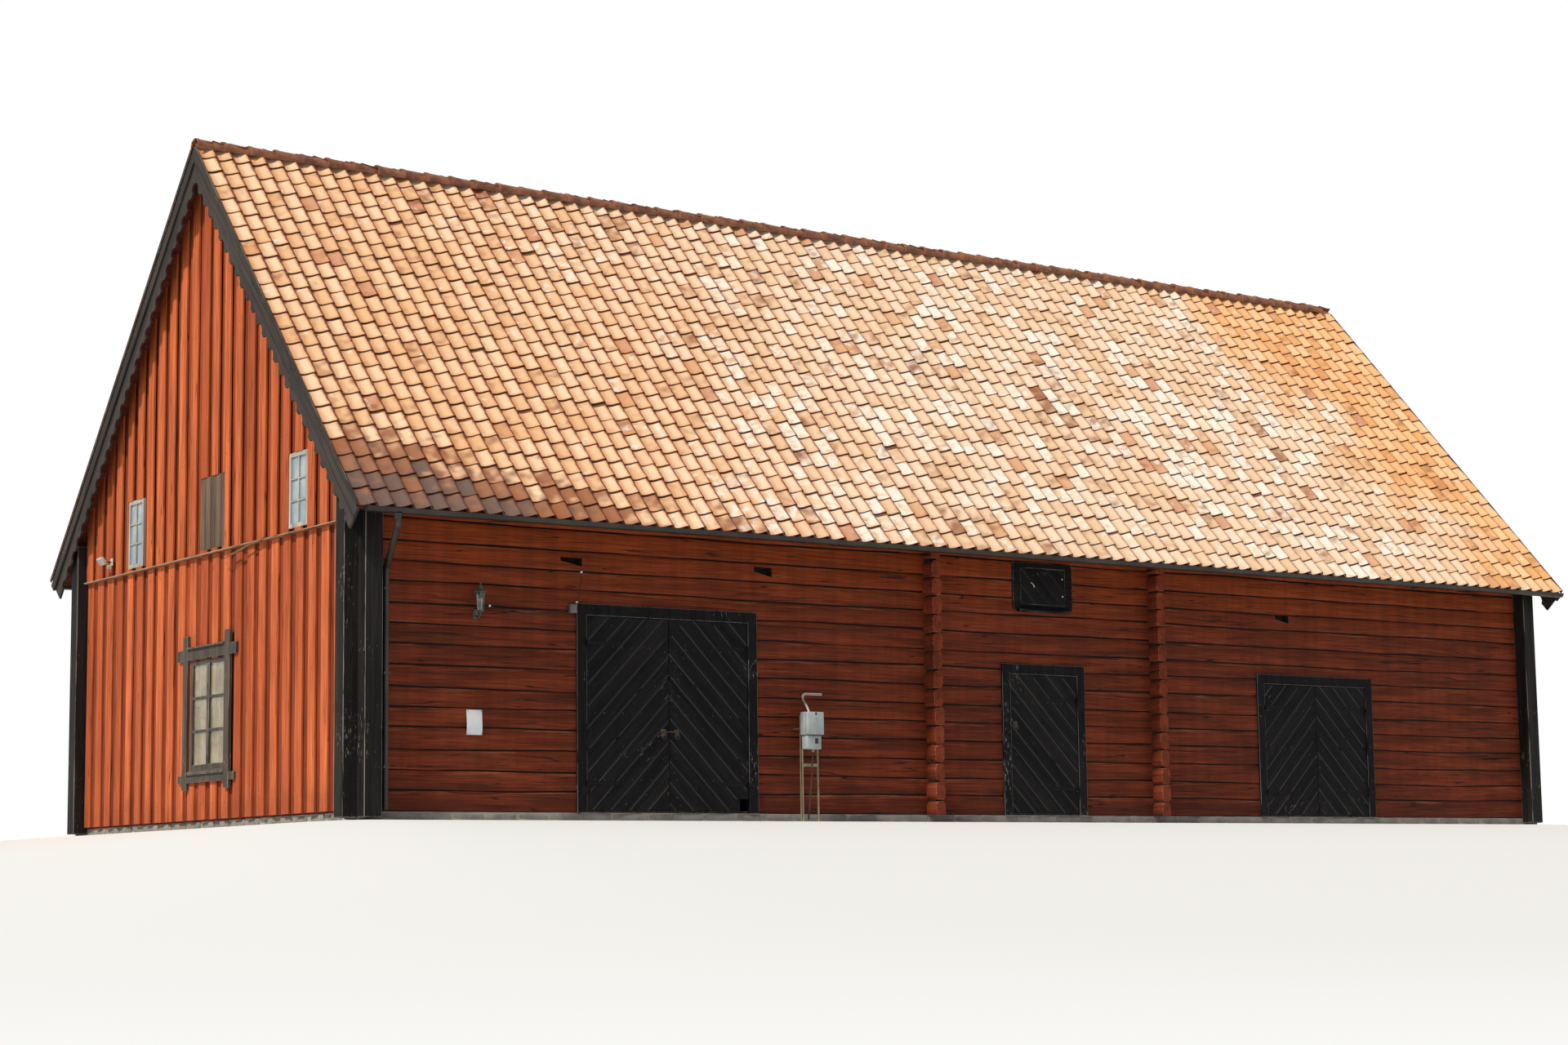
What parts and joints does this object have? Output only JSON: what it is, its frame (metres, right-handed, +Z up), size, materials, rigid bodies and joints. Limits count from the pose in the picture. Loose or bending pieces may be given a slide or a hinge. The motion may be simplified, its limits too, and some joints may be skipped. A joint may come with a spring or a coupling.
{
  "type": "barn",
  "caption": "Red log barn with boarded gables, boxed log corners, a steep pantiled roof, black outward-opening doors and scalloped bargeboards.",
  "frame": {"origin": "on the ground below the middle of the building", "axes": "+X runs along the building with the door side seen from -Y, +Y runs into the building, +Z is up"},
  "size_m": [21.02, 9.84, 9.0596],
  "materials": {
    "red_paint_wood": "matt red distemper",
    "black_tar_wood": "worn black tar",
    "bare_wood": "rough",
    "grey_wood": "weathered grey",
    "roof_tile": "matt",
    "footing_stone": "rough",
    "black_metal": "satin",
    "hinge_iron": "rusty",
    "window_glass": "clear",
    "window_paint": "old grey paint",
    "lantern_metal": "green patina",
    "box_grey": "matt"
  },
  "bodies": {
    "building": {"stone_footing": "footing_stone", "front_wall_piers": "red_paint_wood", "front_wall_over_doors": "red_paint_wood", "back_wall": "red_paint_wood", "gable_log_walls": "red_paint_wood", "log_end_columns": "red_paint_wood", "corner_boards": "black_tar_wood", "lower_cladding": "red_paint_wood", "upper_cladding": "red_paint_wood", "drip_boards": "red_paint_wood", "loft_beams": "bare_wood", "loft_floors": "bare_wood", "front_rafters": "bare_wood", "back_rafters": "bare_wood", "front_roof_boards": "red_paint_wood", "back_roof_boards": "red_paint_wood", "front_tiles": "roof_tile", "back_tiles": "roof_tile", "ridge_tiles": "roof_tile", "front_bargeboards": "black_tar_wood", "back_bargeboards": "black_tar_wood", "gutters": "black_metal", "downspouts": "black_metal", "door_frames": "black_tar_wood", "hinge_pins": "hinge_iron", "wall_hatch": "black_tar_wood", "loft_hatches": "grey_wood", "lower_windows": "grey_wood", "lower_glass": "window_glass", "upper_windows": "window_paint", "upper_glass": "window_glass", "wall_lantern": "lantern_metal", "meter_cabinet": "box_grey", "floodlight": "box_grey"},
    "door_1_left": {"door_1_left_leaf": "black_tar_wood", "door_1_left_straps": "hinge_iron"},
    "door_1_right": {"door_1_right_leaf": "black_tar_wood", "door_1_right_straps": "hinge_iron"},
    "door_2": {"door_2_leaf": "black_tar_wood", "door_2_straps": "hinge_iron"},
    "door_3_left": {"door_3_left_leaf": "black_tar_wood", "door_3_left_straps": "hinge_iron"},
    "door_3_right": {"door_3_right_leaf": "black_tar_wood", "door_3_right_straps": "hinge_iron"}
  },
  "joints": [
    {"name": "door_1_left_hinge", "type": "hinge", "parent": "building", "child": "door_1_left", "pos_m": [-7.1, -4.3005, 0.5], "axis": [0, 0, -1], "range_deg": [0, 100]},
    {"name": "door_1_right_hinge", "type": "hinge", "parent": "building", "child": "door_1_right", "pos_m": [-4.69, -4.3005, 0.5], "axis": [0, 0, 1], "range_deg": [0, 100]},
    {"name": "door_2_hinge", "type": "hinge", "parent": "building", "child": "door_2", "pos_m": [0.85, -4.3005, 0.5], "axis": [0, 0, 1], "range_deg": [0, 100]},
    {"name": "door_3_left_hinge", "type": "hinge", "parent": "building", "child": "door_3_left", "pos_m": [4.46, -4.3005, 0.5], "axis": [0, 0, -1], "range_deg": [0, 100]},
    {"name": "door_3_right_hinge", "type": "hinge", "parent": "building", "child": "door_3_right", "pos_m": [6.56, -4.3005, 0.5], "axis": [0, 0, 1], "range_deg": [0, 100]}
  ]
}
